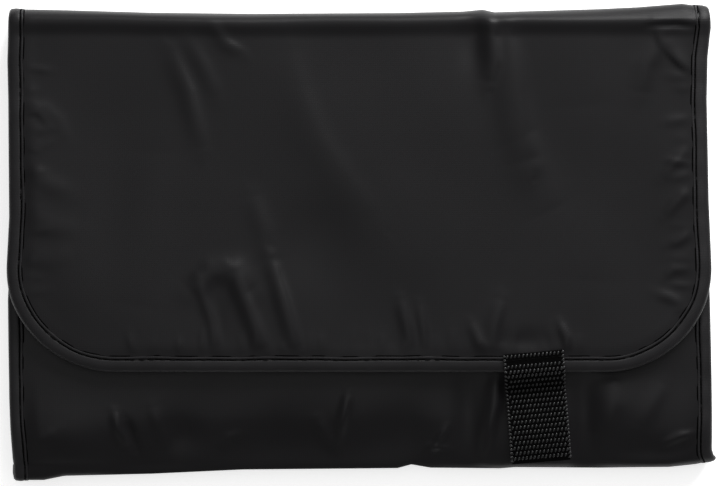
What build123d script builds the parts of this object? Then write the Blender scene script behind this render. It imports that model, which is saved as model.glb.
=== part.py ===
"""Hanging toiletry bag: three bound fabric sections folded in three and closed by a webbing tab.

The bag lies closed on its back section. +X is its width, +Y runs to the top fold, and +Z goes up through
the back section, the pockets, the front section and the flap. Every size is in millimetres.
"""
import os
from math import cos, radians, sin

from build123d import *

os.makedirs("parts", exist_ok=True)

# Overall sizes of the closed bag, the strip of front left bare below the flap, and the small insets
bag_width = 298.0
bag_height = 196.0
front_show = 39.3
front_inset = 1.0
flap_inset = 0.4

# The front section stops this far short of mid-height, so that it opens clear of the flap
front_mid_gap = 2.0

# Make-up of every section: outer nylon, foam, lining, and the tape that binds the edge
shell_t = 0.6
padding_t = 2.0
lining_t = 0.4
binding_w = 6.3
flap_binding_w = 7.0
flap_corner_r = 46.0
end_gap = 0.15

# Zipped pockets, and the margins left round them
pocket_depth = 4.4
panel_t = 0.5
header_w = 5.0
pocket_side_margin = 6.7
pocket_bottom_margin = 9.0
back_pocket_top_margin = 11.0
front_pocket_top_margin = 6.0

# Coil zips, their stops, sliders and pulls
tape_w = 9.0
row_w = 1.9
row_t = 1.8
row_gap = 0.6
zip_end_margin = 10.5
stop_length = 2.0
slider_length = 10.0
slider_width = 8.4
slider_clear = 0.15
slider_end_gap = 1.0
lower_plate_t = 0.6
upper_plate_t = 0.8
bridge_clear = 0.05
bridge_length = 2.5
bail_w = 1.4
bail_post = 1.2
bail_span = 6.8
bail_bar_t = 0.7
pull_t = 1.0
pull_clear = 0.1
pull_length = 21.0
pull_w = 5.0
pull_eye_r = 1.2
pull_slot_length = 5.0
pull_slot_w = 1.7

# Hanger hook with its rivet and the webbing it is riveted to
hook_reach = 56.0
hook_band = 7.0
hook_inner_r = 11.0
hook_t = 2.8
hook_eye_r = 8.0
hook_from_edge = 20.0
hook_tip = 8.0
rivet_r = 2.4
rivet_clear = 0.05
rivet_head_r = 4.5
rivet_head_t = 1.0
hook_side_gap = 0.2
mount_webbing_t = 1.2
mount_webbing_w = 25.4
mount_webbing_length = 22.0

# Closure tab of webbing, with its hook-and-loop patches
tab_w = 25.4
tab_t = 1.4
tab_x = 73.9
tab_lean = 4.9
tab_sewn = 8.5
tab_end_margin = 0.7
tab_gap = 0.2
tab_step_start = 1.8
tab_step_end = 8.0
loop_t = 0.6
grip_t = 0.8
patch_gap = 0.2
patch_start = 11.0
patch_end_margin = 2.6
patch_w = 22.0

# Clearances left between the gear of one section and what lies against it
stack_clear = 0.6
hook_clear = 0.3

# Heights worked out from the sizes above
sheet_t = shell_t + padding_t + lining_t
chain_mid = pocket_depth + panel_t / 2
lower_plate_top = chain_mid - row_t / 2 - slider_clear
upper_plate_low = chain_mid + row_t / 2 + slider_clear
pull_low = upper_plate_low + upper_plate_t + pull_clear
bail_bar_low = pull_low + pull_t + pull_clear
zip_stack = bail_bar_low + bail_bar_t
hook_stack = mount_webbing_t + hook_side_gap + hook_t + hook_side_gap + rivet_head_t
lining_gap = pocket_depth + panel_t + stack_clear + zip_stack
front_low = sheet_t + lining_gap
front_top = front_low + sheet_t
flap_low = front_top + hook_clear + hook_stack
flap_top = flap_low + sheet_t

# Lines across the bag worked out from the sizes above
fold_line = bag_height / 2 - sheet_t
section_end = fold_line - end_gap
flap_end = front_show - fold_line
front_end = -front_mid_gap
back_half = bag_width / 2
front_half = back_half - front_inset
flap_half = back_half - flap_inset
flap_mid = (section_end + flap_end) / 2
chain_half = row_gap / 2 + row_w
pocket_half = back_half - binding_w - pocket_side_margin
zip_length = 2 * (pocket_half - panel_t - zip_end_margin)
tab_free = front_show - tab_end_margin
patch_length = tab_free - patch_start - patch_end_margin
pocket_low = -fold_line + pocket_bottom_margin
hook_y = flap_end + hook_from_edge

# Layers of a section, counted from the outer face inwards: name, start, thickness
layers = (
    ("shell", 0.0, shell_t),
    ("padding", shell_t, padding_t),
    ("lining", shell_t + padding_t, lining_t),
)
sides = (("left", -1), ("right", 1))


def block(x_low, x_high, y_low, y_high, z_low, z_high):
    """A straight-sided block between two corners, added to the part being built."""
    with Locations(((x_low + x_high) / 2, (y_low + y_high) / 2, (z_low + z_high) / 2)):
        Box(x_high - x_low, y_high - y_low, z_high - z_low)


def gear(x_mid, length, y_mid, width, base, up, low, high):
    """A block of zip gear, centred in plan, between two heights counted from the lining it faces."""
    faces = sorted((base + up * low, base + up * high))
    block(x_mid - length / 2, x_mid + length / 2, y_mid - width / 2, y_mid + width / 2, *faces)


def save(builder, label):
    """Names a finished piece and writes it to its own file."""
    builder.part.label = label
    export_step(builder.part, f"parts/{label}.step")


# Back section: it lies on its shell, with the lining facing up
back_inner = back_half - binding_w
for layer, start, thickness in layers:
    with BuildPart() as back_layer:
        with BuildSketch(Plane.XY.offset(start)):
            Rectangle(2 * back_inner, 2 * section_end)
        extrude(amount=thickness)
    save(back_layer, f"back_{layer}")
for side, sign in sides:
    with BuildPart() as back_binding:
        with BuildSketch(Plane.XY):
            with Locations((sign * (back_half - binding_w / 2), 0)):
                Rectangle(binding_w, 2 * section_end)
        extrude(amount=sheet_t)
    save(back_binding, f"back_binding_{side}")

# Front section: its shell faces up, its lining faces the back section
front_inner = front_half - binding_w
front_body_end = front_end - binding_w
for layer, start, thickness in layers:
    with BuildPart() as front_layer:
        with BuildSketch(Plane.XY.offset(front_top - start - thickness)):
            with Locations((0, (front_body_end - section_end) / 2)):
                Rectangle(2 * front_inner, front_body_end + section_end)
        extrude(amount=thickness)
    save(front_layer, f"front_{layer}")
for side, sign in sides:
    with BuildPart() as front_binding:
        with BuildSketch(Plane.XY.offset(front_low)):
            with Locations((sign * (front_half - binding_w / 2), (front_end - section_end) / 2)):
                Rectangle(binding_w, front_end + section_end)
        extrude(amount=sheet_t)
    save(front_binding, f"front_binding_{side}")
with BuildPart() as front_end_binding:
    with BuildSketch(Plane.XY.offset(front_low)):
        with Locations((0, front_end - binding_w / 2)):
            Rectangle(2 * front_inner, binding_w)
    extrude(amount=sheet_t)
save(front_end_binding, "front_end_binding")

# Flap: rounded at its free corners, with one tape sewn round its sides and end
inner_reach = section_end - flap_end - flap_binding_w
inner_mid = section_end - inner_reach / 2
for layer, start, thickness in layers:
    with BuildPart() as flap_layer:
        with BuildSketch(Plane.XY.offset(flap_top - start - thickness)) as flap_inside:
            with Locations((0, inner_mid)):
                Rectangle(2 * (flap_half - flap_binding_w), inner_reach)
            fillet(flap_inside.vertices().group_by(Axis.Y)[0], flap_corner_r - flap_binding_w)
        extrude(amount=thickness)
    save(flap_layer, f"flap_{layer}")
with BuildPart() as flap_binding:
    with BuildSketch(Plane.XY.offset(flap_low)) as flap_outside:
        with Locations((0, flap_mid)):
            Rectangle(2 * flap_half, section_end - flap_end)
        fillet(flap_outside.vertices().group_by(Axis.Y)[0], flap_corner_r)
    extrude(amount=sheet_t)
    with BuildSketch(Plane.XY.offset(flap_low)) as flap_cut:
        with Locations((0, inner_mid)):
            Rectangle(2 * (flap_half - flap_binding_w), inner_reach)
        fillet(flap_cut.vertices().group_by(Axis.Y)[0], flap_corner_r - flap_binding_w)
    extrude(amount=sheet_t, mode=Mode.SUBTRACT)
save(flap_binding, "flap_binding")

# Fold strips: each stands between two sections, and lies in line with them once the bag is opened
folds = (
    ("top_fold", 1, flap_low),
    ("bottom_fold", -1, front_low),
)
for fold, way, strip_top in folds:
    strip_low = sheet_t + end_gap
    strip_height = strip_top - end_gap - strip_low
    for layer, start, thickness in layers:
        with BuildPart() as strip_layer:
            with BuildSketch(Plane.XY.offset(strip_low)):
                with Locations((0, way * (bag_height / 2 - start - thickness / 2))):
                    Rectangle(2 * back_inner, thickness)
            extrude(amount=strip_height)
        save(strip_layer, f"{fold}_{layer}")
    for side, sign in sides:
        with BuildPart() as strip_binding:
            with BuildSketch(Plane.XY.offset(strip_low)):
                with Locations((sign * (back_half - binding_w / 2), way * (bag_height - sheet_t) / 2)):
                    Rectangle(binding_w, sheet_t)
            extrude(amount=strip_height)
        save(strip_binding, f"{fold}_binding_{side}")

# Zipped pockets: one on the lining of the back section and one on the lining of the front section
pockets = (
    ("back", sheet_t, 1, fold_line - back_pocket_top_margin),
    ("front", front_low, -1, front_end - front_pocket_top_margin),
)
for section, base, up, pocket_high in pockets:
    zip_y = pocket_high - header_w - tape_w - chain_half
    panel_high = zip_y - chain_half - tape_w
    cloth_low = base + up * pocket_depth
    cloth_high = cloth_low + up * panel_t
    cloth = (min(cloth_low, cloth_high), max(cloth_low, cloth_high))
    wall = (min(base, cloth_low), max(base, cloth_low))
    # Panel with its bottom wall and side walls
    with BuildPart() as pocket_panel:
        block(-pocket_half, pocket_half, pocket_low, panel_high, *cloth)
        block(-pocket_half, pocket_half, pocket_low, pocket_low + panel_t, *wall)
        for side, sign in sides:
            edge = sign * (pocket_half - panel_t / 2)
            block(edge - panel_t / 2, edge + panel_t / 2, pocket_low, panel_high, *wall)
    save(pocket_panel, f"{section}_pocket_panel")
    # Header above the zip, with the top wall and the short side walls beside the zip
    with BuildPart() as pocket_header:
        block(-pocket_half, pocket_half, pocket_high - header_w, pocket_high, *cloth)
        block(-pocket_half, pocket_half, pocket_high - panel_t, pocket_high, *wall)
        for side, sign in sides:
            edge = sign * (pocket_half - panel_t / 2)
            block(edge - panel_t / 2, edge + panel_t / 2, panel_high, pocket_high, *wall)
            block(edge - panel_t / 2, edge + panel_t / 2, panel_high, pocket_high - header_w, *cloth)
    save(pocket_header, f"{section}_pocket_header")
    # Zip tapes and the two rows of coil
    row_start = chain_mid - row_t / 2
    tape_half = pocket_half - panel_t
    for name, way in (("lower", -1), ("upper", 1)):
        tape_mid = zip_y + way * (chain_half + tape_w / 2)
        with BuildPart() as zip_tape:
            block(-tape_half, tape_half, tape_mid - tape_w / 2, tape_mid + tape_w / 2, *cloth)
        save(zip_tape, f"{section}_zip_tape_{name}")
        row_mid = zip_y + way * (row_gap + row_w) / 2
        with BuildPart() as zip_row:
            gear(0, zip_length, row_mid, row_w, base, up, row_start, row_start + row_t)
        save(zip_row, f"{section}_zip_coil_{name}")
    # Stops at the two ends of the coil
    for side, sign in sides:
        stop_mid = sign * (zip_length + stop_length) / 2
        with BuildPart() as zip_stop:
            gear(stop_mid, stop_length, zip_y, 2 * chain_half, base, up, row_start, row_start + row_t)
        save(zip_stop, f"{section}_zip_stop_{side}")
    # Slider: two plates joined by a bridge between the coil rows, with flanges and a bail for the pull
    slider_x = zip_length / 2 - slider_length / 2 - slider_end_gap
    slider_end = slider_x + slider_length / 2
    half_w = slider_width / 2
    flange_in = chain_half + slider_clear
    bridge_half = row_gap / 2 - bridge_clear
    upper_plate_top = upper_plate_low + upper_plate_t
    lower_flange_top = pocket_depth - slider_clear
    upper_flange_low = pocket_depth + panel_t + slider_clear
    plates = ((lower_plate_top - lower_plate_t, lower_plate_top), (upper_plate_low, upper_plate_top))
    flanges = ((lower_plate_top, lower_flange_top), (upper_flange_low, upper_plate_low))
    with BuildPart() as slider:
        for low, high in plates:
            gear(slider_x, slider_length, zip_y, slider_width, base, up, low, high)
        bridge_x = slider_end - bridge_length / 2
        gear(bridge_x, bridge_length, zip_y, 2 * bridge_half, base, up, lower_plate_top, upper_plate_low)
        for way in (-1, 1):
            flange_y = zip_y + way * (flange_in + half_w) / 2
            for low, high in flanges:
                gear(slider_x, slider_length, flange_y, half_w - flange_in, base, up, low, high)
            post_x = slider_x + way * (bail_span - bail_post) / 2
            gear(post_x, bail_post, zip_y, bail_w, base, up, upper_plate_top, bail_bar_low)
        gear(slider_x, bail_span, zip_y, bail_w, base, up, bail_bar_low, bail_bar_low + bail_bar_t)
    save(slider, f"{section}_zip_slider")
    # Pull: a flat tongue whose eye goes round one post of the bail
    eye_x = slider_x - (bail_span - bail_post) / 2
    pull_face = min(base + up * pull_low, base + up * (pull_low + pull_t))
    with BuildPart() as pull:
        with BuildSketch(Plane.XY.offset(pull_face)) as pull_outline:
            with Locations((eye_x - pull_length / 2, zip_y)):
                SlotOverall(pull_length + pull_w, pull_w)
            with Locations((eye_x, zip_y)):
                Circle(pull_eye_r, mode=Mode.SUBTRACT)
            with Locations((eye_x - pull_length + pull_slot_length / 4, zip_y)):
                SlotOverall(pull_slot_length, pull_slot_w, mode=Mode.SUBTRACT)
        extrude(amount=pull_t)
    save(pull, f"{section}_zip_pull")

# Hanger: webbing sewn to the flap's lining near its edge, a rivet, and the flat hook that turns on it
webbing_low = flap_low - mount_webbing_t
hook_high = webbing_low - hook_side_gap
hook_low = hook_high - hook_t
head_low = hook_low - hook_side_gap - rivet_head_t
with BuildPart() as hook_webbing:
    with BuildSketch(Plane.XY.offset(webbing_low)):
        with Locations((0, hook_y)):
            Rectangle(mount_webbing_w, mount_webbing_length)
            Circle(rivet_r, mode=Mode.SUBTRACT)
    extrude(amount=mount_webbing_t)
save(hook_webbing, "hook_webbing")
with BuildPart() as hook_rivet:
    with BuildSketch(Plane.XY.offset(head_low)):
        with Locations((0, hook_y)):
            Circle(rivet_head_r)
    extrude(amount=rivet_head_t)
    with BuildSketch(Plane.XY.offset(head_low)):
        with Locations((0, hook_y)):
            Circle(rivet_r)
    extrude(amount=flap_low - head_low)
    fillet(hook_rivet.edges().filter_by(GeomType.CIRCLE).group_by(Axis.Z)[0], rivet_head_t * 0.6)
save(hook_rivet, "hook_rivet")
bend_r = hook_inner_r + hook_band / 2
bend_y = hook_y + hook_reach - hook_inner_r - hook_band
stem_bend = (hook_y + bend_y - hook_band) / 2
with BuildPart() as hanger_hook:
    with BuildSketch(Plane.XY.offset(hook_low)):
        with BuildLine():
            FilletPolyline((0, hook_y), (-bend_r, stem_bend), (-bend_r, bend_y), radius=hook_inner_r)
            ThreePointArc((-bend_r, bend_y), (0, bend_y + bend_r), (bend_r, bend_y))
            Line((bend_r, bend_y), (bend_r, bend_y - hook_tip))
        trace(line_width=hook_band)
        with Locations((bend_r, bend_y - hook_tip)):
            Circle(hook_band / 2)
        with Locations((0, hook_y)):
            Circle(hook_eye_r)
            Circle(rivet_r + rivet_clear, mode=Mode.SUBTRACT)
    extrude(amount=hook_t)
save(hanger_hook, "hanger_hook")

# Closure tab: webbing sewn on the flap's edge, its free part with a hook patch, and a loop patch on the front
lean = radians(tab_lean)
across = (cos(lean), sin(lean), 0)
along = (-sin(lean), cos(lean), 0)
grip_low = front_top + loop_t + patch_gap
strap_low = grip_low + grip_t
with BuildPart() as tab_anchor:
    with BuildSketch(Plane(origin=(tab_x, flap_end, flap_top), x_dir=across, z_dir=(0, 0, 1))):
        with Locations((0, (tab_sewn + tab_gap) / 2)):
            Rectangle(tab_w, tab_sewn - tab_gap)
    extrude(amount=tab_t)
save(tab_anchor, "tab_anchor")
with BuildPart() as tab_strap:
    with BuildSketch(Plane(origin=(tab_x, flap_end, 0), x_dir=along, z_dir=across)):
        with BuildLine():
            Polyline(
                (-tab_gap, flap_top),
                (-tab_gap, flap_top + tab_t),
                (-tab_step_start - tab_t / 2, flap_top + tab_t),
                (-tab_step_end - tab_t / 2, strap_low + tab_t),
                (-tab_free, strap_low + tab_t),
                (-tab_free, strap_low),
                (-tab_step_end, strap_low),
                (-tab_step_start, flap_top),
                close=True,
            )
        make_face()
    extrude(amount=tab_w / 2, both=True)
save(tab_strap, "tab_strap")
patches = (
    ("tab_hook_patch", grip_low, grip_t),
    ("front_loop_patch", front_top, loop_t),
)
for patch_name, patch_low, patch_t in patches:
    with BuildPart() as patch:
        with BuildSketch(Plane(origin=(tab_x, flap_end, patch_low), x_dir=across, z_dir=(0, 0, 1))):
            with Locations((0, -patch_start - patch_length / 2)):
                RectangleRounded(patch_w, patch_length, 2.0)
        extrude(amount=patch_t)
    save(patch, patch_name)
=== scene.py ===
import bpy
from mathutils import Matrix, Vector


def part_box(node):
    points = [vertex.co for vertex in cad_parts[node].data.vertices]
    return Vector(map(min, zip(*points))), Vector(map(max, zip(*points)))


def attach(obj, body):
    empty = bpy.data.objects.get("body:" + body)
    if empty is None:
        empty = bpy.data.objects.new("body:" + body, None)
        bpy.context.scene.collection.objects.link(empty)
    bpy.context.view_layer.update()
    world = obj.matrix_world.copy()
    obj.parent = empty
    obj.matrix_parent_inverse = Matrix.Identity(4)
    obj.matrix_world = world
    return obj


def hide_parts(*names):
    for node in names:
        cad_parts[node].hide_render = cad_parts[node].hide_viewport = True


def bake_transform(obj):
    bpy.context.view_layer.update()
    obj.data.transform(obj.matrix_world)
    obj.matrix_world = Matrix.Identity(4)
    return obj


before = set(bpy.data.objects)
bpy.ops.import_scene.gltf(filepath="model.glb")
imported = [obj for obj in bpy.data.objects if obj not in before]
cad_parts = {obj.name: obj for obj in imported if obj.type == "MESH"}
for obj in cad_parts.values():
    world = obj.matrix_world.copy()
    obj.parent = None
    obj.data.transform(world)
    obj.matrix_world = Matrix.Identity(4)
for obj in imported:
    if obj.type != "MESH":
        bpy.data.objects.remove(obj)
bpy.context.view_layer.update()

import math

import bpy
import numpy as np
from mathutils import Vector

# ---------------------------------------------------------------------------------------------------------
# Camera, floor and light
# The bag lies on a plain white table and is seen from straight above through a long lens. One large soft
# lamp stands behind the top fold, and a wide lamp overhead fills the rest.
MM = 0.001
bpy.ops.object.select_all(action="DESELECT")
bpy.ops.object.camera_add(location=(0, -1.0 * MM, 1.72), rotation=(0, 0, 0))
camera = bpy.context.object
camera.data.lens = 200
camera.data.sensor_width = 36
camera.data.clip_end = 10
bpy.context.scene.camera = camera


def linear(code):
    """A hex colour as linear red, green, blue and full opacity."""
    parts = [int(code[n:n + 2], 16) / 255 for n in (1, 3, 5)]
    return [p / 12.92 if p <= 0.04045 else ((p + 0.055) / 1.055) ** 2.4 for p in parts] + [1.0]


def add_node(tree, kind, inputs=None, feeds=None, **settings):
    """Adds a node, fills its inputs with values or links, and links it on to the socket that it feeds."""
    node = tree.nodes.new(kind)
    for name, value in settings.items():
        setattr(node, name, value)
    for socket, value in (inputs or {}).items():
        if isinstance(value, bpy.types.NodeSocket):
            tree.links.new(value, node.inputs[socket])
        else:
            node.inputs[socket].default_value = value
    if feeds:
        tree.links.new(node.outputs[0], feeds)
    return node


def new_material(name, colour, **values):
    """A material with one shader, whose plain values sit on the shader's own sockets."""
    material = bpy.data.materials.new(name)
    material.use_nodes = True
    shader = material.node_tree.nodes["Principled BSDF"]
    shader.inputs["Base Color"].default_value = linear(colour)
    for socket, value in values.items():
        shader.inputs[socket.replace("_", " ")].default_value = value
    return material, material.node_tree, shader


# Painted board, seen almost white
white_board, tree, shader = new_material(
    "painted_white_board", "#f4f4f4", Roughness=0.8, Emission_Color=(1, 1, 1, 1), Emission_Strength=0.6
)
grain = add_node(tree, "ShaderNodeTexNoise", {"Scale": 300.0, "Detail": 2.0})
add_node(
    tree, "ShaderNodeBump", {"Height": grain.outputs["Fac"], "Distance": 0.00005, "Strength": 0.3},
    shader.inputs["Normal"],
)
bpy.ops.mesh.primitive_plane_add(size=8, location=(0, 0, -0.0009))
table = bpy.context.object
table.name = "table"
table.data.materials.append(white_board)

world = bpy.data.worlds.new("studio")
bpy.context.scene.world = world
world.use_nodes = True
world.node_tree.nodes["Background"].inputs["Color"].default_value = (1, 1, 1, 1)
world.node_tree.nodes["Background"].inputs["Strength"].default_value = 0.3
lamps = (
    ("key", (0.62, 1.2, 0.8), 1.0, 40),
    ("overhead", (-0.15, 0.1, 2.4), 1.9, 9),
)
for name, place, size, power in lamps:
    bpy.ops.object.light_add(type="AREA", location=place)
    lamp = bpy.context.object
    lamp.name = name
    lamp.data.size = size
    lamp.data.energy = power
    lamp.rotation_mode = "QUATERNION"
    lamp.rotation_quaternion = Vector(place).to_track_quat("Z", "Y")
bpy.context.scene.view_settings.view_transform = "Standard"

# ---------------------------------------------------------------------------------------------------------
# Flap
# One piece of light black nylon pack cloth over thin foam. It starts halfway down the top fold, rolls over
# it and lies on the front section. It has soft wrinkles, sharper puckers at its seams, and round corners.

# Plain-woven nylon filament cloth with a light polyurethane finish: near black, with a low satin shine. Its
# threads are 0.25 mm apart, which is too fine to show, so the weave is drawn 0.9 mm apart.
WEAVE = 0.9 * MM
pack_cloth, tree, shader = new_material(
    "plain_woven_nylon_pack_cloth", "#141315", Roughness=0.44, Specular_IOR_Level=0.2, Sheen_Weight=0.02,
    Sheen_Roughness=0.4,
)
place = add_node(tree, "ShaderNodeTexCoord").outputs["Object"]
threads = []
for axis in ("X", "Y"):
    threads.append(add_node(
        tree, "ShaderNodeTexWave",
        {"Vector": place, "Scale": math.pi / (10 * WEAVE), "Distortion": 0.6, "Detail": 1.0,
         "Detail Scale": 2.0},
        bands_direction=axis,
    ))
weave = add_node(
    tree, "ShaderNodeMath", {0: threads[0].outputs["Fac"], 1: threads[1].outputs["Fac"]}, operation="MULTIPLY"
)
cloudy = add_node(
    tree, "ShaderNodeTexNoise", {"Vector": place, "Scale": 22.0, "Detail": 4.0, "Roughness": 0.55}
)
tint = add_node(tree, "ShaderNodeValToRGB", {"Fac": cloudy.outputs["Fac"]}, shader.inputs["Base Color"])
tint.color_ramp.elements[0].position = 0.3
tint.color_ramp.elements[0].color = linear("#080709")
tint.color_ramp.elements[1].position = 0.7
tint.color_ramp.elements[1].color = linear("#0c0b0d")
add_node(
    tree, "ShaderNodeMapRange", {"Value": cloudy.outputs["Fac"], "To Min": 0.42, "To Max": 0.5},
    shader.inputs["Roughness"],
)
add_node(
    tree, "ShaderNodeBump", {"Height": weave.outputs["Value"], "Distance": 0.00003, "Strength": 0.5},
    shader.inputs["Normal"],
)


def select_only(piece):
    bpy.ops.object.select_all(action="DESELECT")
    piece.select_set(True)
    bpy.context.view_layer.objects.active = piece


def give_wall(piece, thickness):
    """Gives an open cloth its thickness, on the side away from its outer face."""
    select_only(piece)
    wall = piece.modifiers.new("wall", "SOLIDIFY")
    wall.thickness = thickness * MM
    wall.offset = -1
    bpy.ops.object.modifier_apply(modifier="wall")


def smooth(value, low, high):
    """0 below low, 1 above high, and a soft step between them."""
    t = np.clip((value - low) / (high - low), 0, 1)
    return t * t * (3 - 2 * t)


def ridge(x, y, points, wide_left, wide_right, height):
    """A soft ridge along a line of points, wider or steeper on either side of it, fading at its two ends."""
    spans = list(zip(points, points[1:]))
    lengths = [math.dist(a, b) for a, b in spans]
    total, run = sum(lengths), 0.0
    nearest = np.full(x.shape, 1e9)
    found = np.zeros(x.shape)
    for (a, b), length in zip(spans, lengths):
        ux, uy = (b[0] - a[0]) / length, (b[1] - a[1]) / length
        t = np.clip((x - a[0]) * ux + (y - a[1]) * uy, 0, length)
        dx, dy = x - a[0] - t * ux, y - a[1] - t * uy
        off = np.hypot(dx, dy)
        side = dx * uy - dy * ux
        wide = np.where(side > 0, wide_right, wide_left)
        share = (run + t) / total
        value = np.exp(-(off / wide) ** 2) * np.sin(math.pi * np.clip(share, 0.04, 0.96)) ** 0.6
        closer = off < nearest
        found = np.where(closer, value, found)
        nearest = np.minimum(nearest, off)
        run += length
    return height * found


def hollow(x, y, middle, reach_x, reach_y, height):
    """A broad soft swelling, or a hollow where height is negative."""
    return height * np.exp(-((x - middle[0]) / reach_x) ** 2 - ((y - middle[1]) / reach_y) ** 2)


CLOTH_ANGLE = 60


def laid_cloth(name, columns, rows, shape, thickness, cloth):
    """A sheet: a grid whose two directions run from -1 to 1 is laid on a shape and gets its thickness."""
    bpy.ops.object.select_all(action="DESELECT")
    bpy.ops.mesh.primitive_grid_add(x_subdivisions=columns, y_subdivisions=rows, size=2)
    piece = bpy.context.object
    piece.name = piece.data.name = name
    mesh = piece.data
    co = np.empty(len(mesh.vertices) * 3, np.float32)
    mesh.vertices.foreach_get("co", co)
    co = co.reshape(-1, 3).astype(float)
    laid = np.stack(shape(co[:, 0], co[:, 1]), axis=1) * MM
    mesh.vertices.foreach_set("co", laid.astype(np.float32).ravel())
    mesh.update()
    if thickness:
        give_wall(piece, thickness)
    bpy.ops.object.shade_smooth_by_angle(angle=math.radians(CLOTH_ANGLE))
    mesh.materials.append(cloth)
    return piece


HALF = 149.0
FLAP_HALF = 148.6
FLAP_TOP = 28.6
FLAP_END = -55.7
CORNER = 46.0
TOP_ROLL = (6.0, 9.6)
EDGE_COVER = 3.0
NYLON_THICK = 0.6

# The bag's own crooked outline: how far its edges stand from a true rectangle, from end to end
top_edge = ((-149, 0.4), (-127, 0.0), (-89, -1.1), (-46, -1.6), (17, -1.2), (44, -0.6), (52, 0.2), (57, -0.9),
            (101, 0.4), (118, 1.2), (137, 2.7), (149, 1.1))
bottom_edge = ((-149, -4.3), (-136, -4.3), (-127, -2.5), (-89, -1.6), (-50, 0.2), (16, 0.8), (22, 2.4),
               (30, 1.0), (60, 0.7), (66, 1.2), (101, 1.0), (118, 1.2), (129, 1.3), (140, 2.5), (149, 4.4))
left_edge = ((-100, 1.3), (-93, -0.1), (-80, -0.9), (-67, -1.3), (-25, -1.8), (10, 0.0), (60, -0.4),
             (76, -0.8), (98, -0.2))
right_edge = ((-98, 3.4), (-93, 2.1), (-60, 1.7), (-25, 0.9), (17, -0.9), (60, -1.7), (78, -1.3), (90, 0.0),
              (98, -0.4))


def crooked(x, y):
    """Moves points in plan, so that the bag's outline is as uneven as the real one.

    Outside the fold lines the cloth takes the whole shift. Inside them it only moves towards the middle.
    """
    up, down = np.interp(x, *zip(*top_edge)), np.interp(x, *zip(*bottom_edge))
    shift = np.where(y > 0, up, down)
    give = np.where(y > 0, np.minimum(up + 0.6, 0), np.maximum(down - 0.6, 0))
    outside = smooth(np.abs(y), 95, 98)
    left, right = np.interp(y, *zip(*left_edge)), np.interp(y, *zip(*right_edge))
    sideways = left * smooth(-x, 60, 148) + right * smooth(x, 60, 148)
    return x + sideways, y + (give + (shift - give) * outside) * smooth(np.abs(y), 60, 95)


# Wrinkles of the flap, as (points, width on the left, width on the right, height), all in millimetres
flap_ridges = (
    (((53, 96), (56, 89), (57, 76), (55, 66)), 2.2, 4.5, 1.5),
    (((61, 93), (63, 78), (65, 62), (68, 46), (72, 32)), 5.0, 8.0, 1.8),
    (((66, 44), (73, 30), (82, 12)), 9.0, 11.0, 0.6),
    (((-80, 82), (-72, 63), (-66, 38)), 2.5, 5.0, 0.8),
    (((-73, 86), (-66, 74), (-60, 60)), 3.0, 4.0, 0.5),
    (((-62, 92), (-56, 84), (-49, 80)), 2.0, 3.5, 0.6),
    (((-30, 84), (-26, 64), (-18, 44), (-6, 26), (8, 8)), 5.0, 9.0, 0.5),
    (((-73, -22), (-63, -13), (-53, -12), (-45, -22)), 5.0, 5.0, 1.1),
    (((-68, -16), (-63, -32), (-60, -46)), 2.0, 3.0, 1.0),
    (((-54, -12), (-47, -28), (-40, -47)), 2.4, 4.0, 1.4),
    (((-38, -6), (-32, -26), (-26, -47)), 2.2, 4.0, 1.3),
    (((-46, 20), (-40, 4), (-36, -10)), 4.0, 5.0, 0.6),
    (((17, -24), (20, -36), (22, -47)), 2.2, 3.0, 0.8),
    (((25, -26), (27, -38), (28, -47)), 1.8, 2.5, 0.6),
    (((60, -24), (57, -36), (56, -48)), 2.5, 4.0, 0.8),
    (((47, -34), (50, -42), (54, -48)), 1.6, 2.4, 0.7),
    (((84, -34), (87, -41), (88, -48)), 1.6, 1.8, 1.0),
    (((-145, 50), (-141, 54), (-136, 54), (-131, 48)), 3.2, 0.8, 0.4),
    (((-141, 57), (-133, 57), (-127, 51), (-123, 42)), 2.6, 3.2, 0.28),
    (((-142, 42), (-134, 40), (-126, 44)), 2.2, 2.4, 0.2),
    (((-141, 30), (-132, 24), (-122, 20)), 4.0, 4.0, 0.45),
    (((-141, 12), (-130, 6), (-118, 4)), 4.5, 4.5, 0.45),
    (((-141, -6), (-130, -8), (-120, -4)), 4.5, 4.5, 0.4),
    (((122, 91), (134, 91.5), (147, 90)), 1.0, 1.2, -0.9),
    (((124, 92), (128, 83), (135, 76), (145, 69)), 6.0, 0.9, 0.55),
    (((132, 80), (137, 74), (145, 68)), 4.0, 0.8, 0.3),
    (((128, 84), (122, 74), (120, 62)), 4.0, 5.0, 0.6),
    (((141, 40), (134, 33), (128, 26)), 2.5, 2.5, 0.5),
    (((141, 22), (134, 16), (129, 10)), 2.5, 2.5, 0.5),
    (((141, 4), (135, 0), (130, -2)), 2.2, 2.2, 0.5),
    (((140, -12), (132, -12), (128, -16)), 2.2, 2.2, 0.5),
    (((136, -28), (130, -24), (124, -22)), 2.0, 2.4, 0.5),
    (((-88, 40), (-90, 0), (-96, -30)), 12.0, 12.0, 0.7),
    (((96, 60), (100, 20), (96, -20)), 12.0, 14.0, 0.6),
)
flap_hollows = (
    ((-20, -2), 16, 18, -1.3),
    ((-100, 50), 24, 26, -0.7),
    ((-62, -34), 5, 12, -0.5),
    ((20, 60), 34, 26, 0.7),
    ((47, 84), 5, 12, -0.6),
    ((34, 4), 30, 30, 0.7),
    ((112, 10), 26, 40, -0.5),
    ((-118, -22), 16, 20, 0.8),
    ((70, -43), 12, 5, -0.7),
)
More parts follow.
